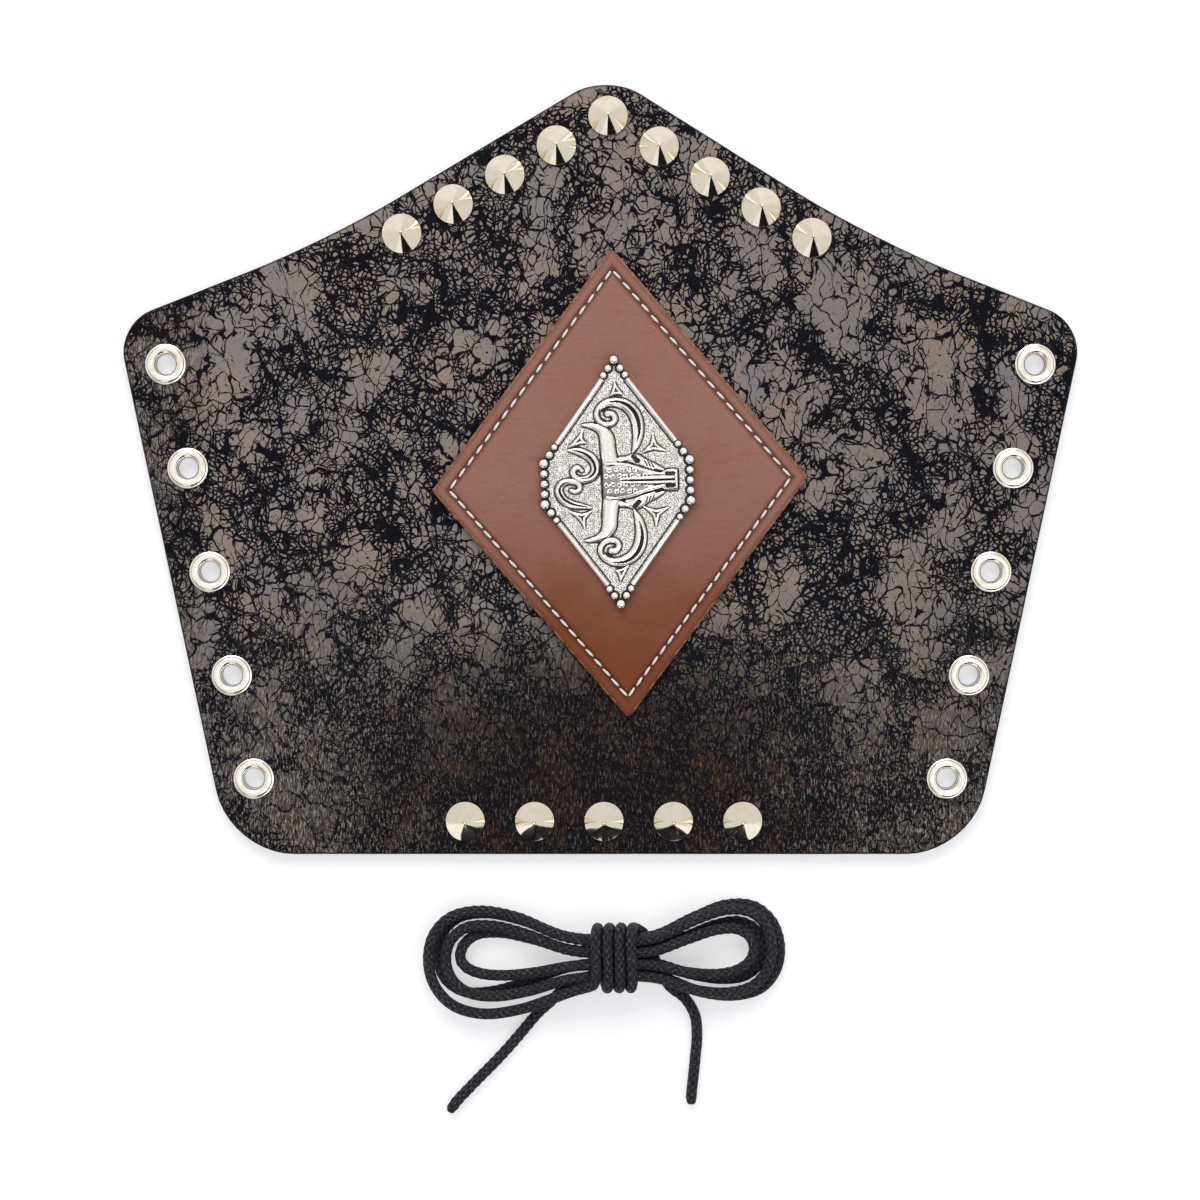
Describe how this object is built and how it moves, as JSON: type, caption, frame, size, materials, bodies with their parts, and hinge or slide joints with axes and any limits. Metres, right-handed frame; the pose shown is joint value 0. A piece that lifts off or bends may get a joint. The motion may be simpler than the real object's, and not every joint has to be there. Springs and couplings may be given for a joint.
{
  "type": "lace-up leather bracer",
  "caption": "Flat lace-up leather forearm bracer with cone studs, lacing eyelets, a stitched diamond patch with a cast skull concho, and its lace in a hank.",
  "frame": {"origin": "under the middle of the bracer's outline, on the surface that its screw heads rest on", "axes": "+X across the forearm from the left row of eyelets to the right row, +Y along the forearm to the peak, +Z out of the outer face"},
  "size_m": [0.2384, 0.2589, 0.0134],
  "materials": {
    "outer_leather": "crackled grey over black, satin",
    "patch_leather": "smooth brown, satin",
    "thread": "white waxed thread",
    "antique_silver": "antique silver with dark recesses",
    "nickel": "polished nickel",
    "eyelet_metal": "polished pale brass plate",
    "steel": "plain zinc-plated",
    "cord": "waxed black braid"
  },
  "bodies": {
    "bracer": {"outer_leather": "outer_leather", "diamond_patch": "patch_leather", "patch_thread": "thread", "concho": "antique_silver", "concho_screw": "steel", "top_stud_1": "nickel", "top_stud_2": "nickel", "top_stud_3": "nickel", "top_stud_4": "nickel", "top_stud_5": "nickel", "top_stud_6": "nickel", "top_stud_7": "nickel", "top_stud_8": "nickel", "top_stud_9": "nickel", "top_stud_screw_1": "steel", "top_stud_screw_2": "steel", "top_stud_screw_3": "steel", "top_stud_screw_4": "steel", "top_stud_screw_5": "steel", "top_stud_screw_6": "steel", "top_stud_screw_7": "steel", "top_stud_screw_8": "steel", "top_stud_screw_9": "steel", "bottom_stud_1": "nickel", "bottom_stud_2": "nickel", "bottom_stud_3": "nickel", "bottom_stud_4": "nickel", "bottom_stud_5": "nickel", "bottom_stud_screw_1": "steel", "bottom_stud_screw_2": "steel", "bottom_stud_screw_3": "steel", "bottom_stud_screw_4": "steel", "bottom_stud_screw_5": "steel", "left_eyelet_1": "eyelet_metal", "left_eyelet_2": "eyelet_metal", "left_eyelet_3": "eyelet_metal", "left_eyelet_4": "eyelet_metal", "left_eyelet_5": "eyelet_metal", "right_eyelet_1": "eyelet_metal", "right_eyelet_2": "eyelet_metal", "right_eyelet_3": "eyelet_metal", "right_eyelet_4": "eyelet_metal", "right_eyelet_5": "eyelet_metal", "left_washer_1": "eyelet_metal", "left_washer_2": "eyelet_metal", "left_washer_3": "eyelet_metal", "left_washer_4": "eyelet_metal", "left_washer_5": "eyelet_metal", "right_washer_1": "eyelet_metal", "right_washer_2": "eyelet_metal", "right_washer_3": "eyelet_metal", "right_washer_4": "eyelet_metal", "right_washer_5": "eyelet_metal"},
    "lace": {"lace_hank": "cord", "lace_wrap": "cord", "lace_tail_left": "cord", "lace_tail_right": "cord"}
  },
  "joints": [
    {"name": "lace_lift", "type": "slide", "parent": "bracer", "child": "lace", "axis": [0, 0, 1], "range_m": [0, 0.06]}
  ]
}
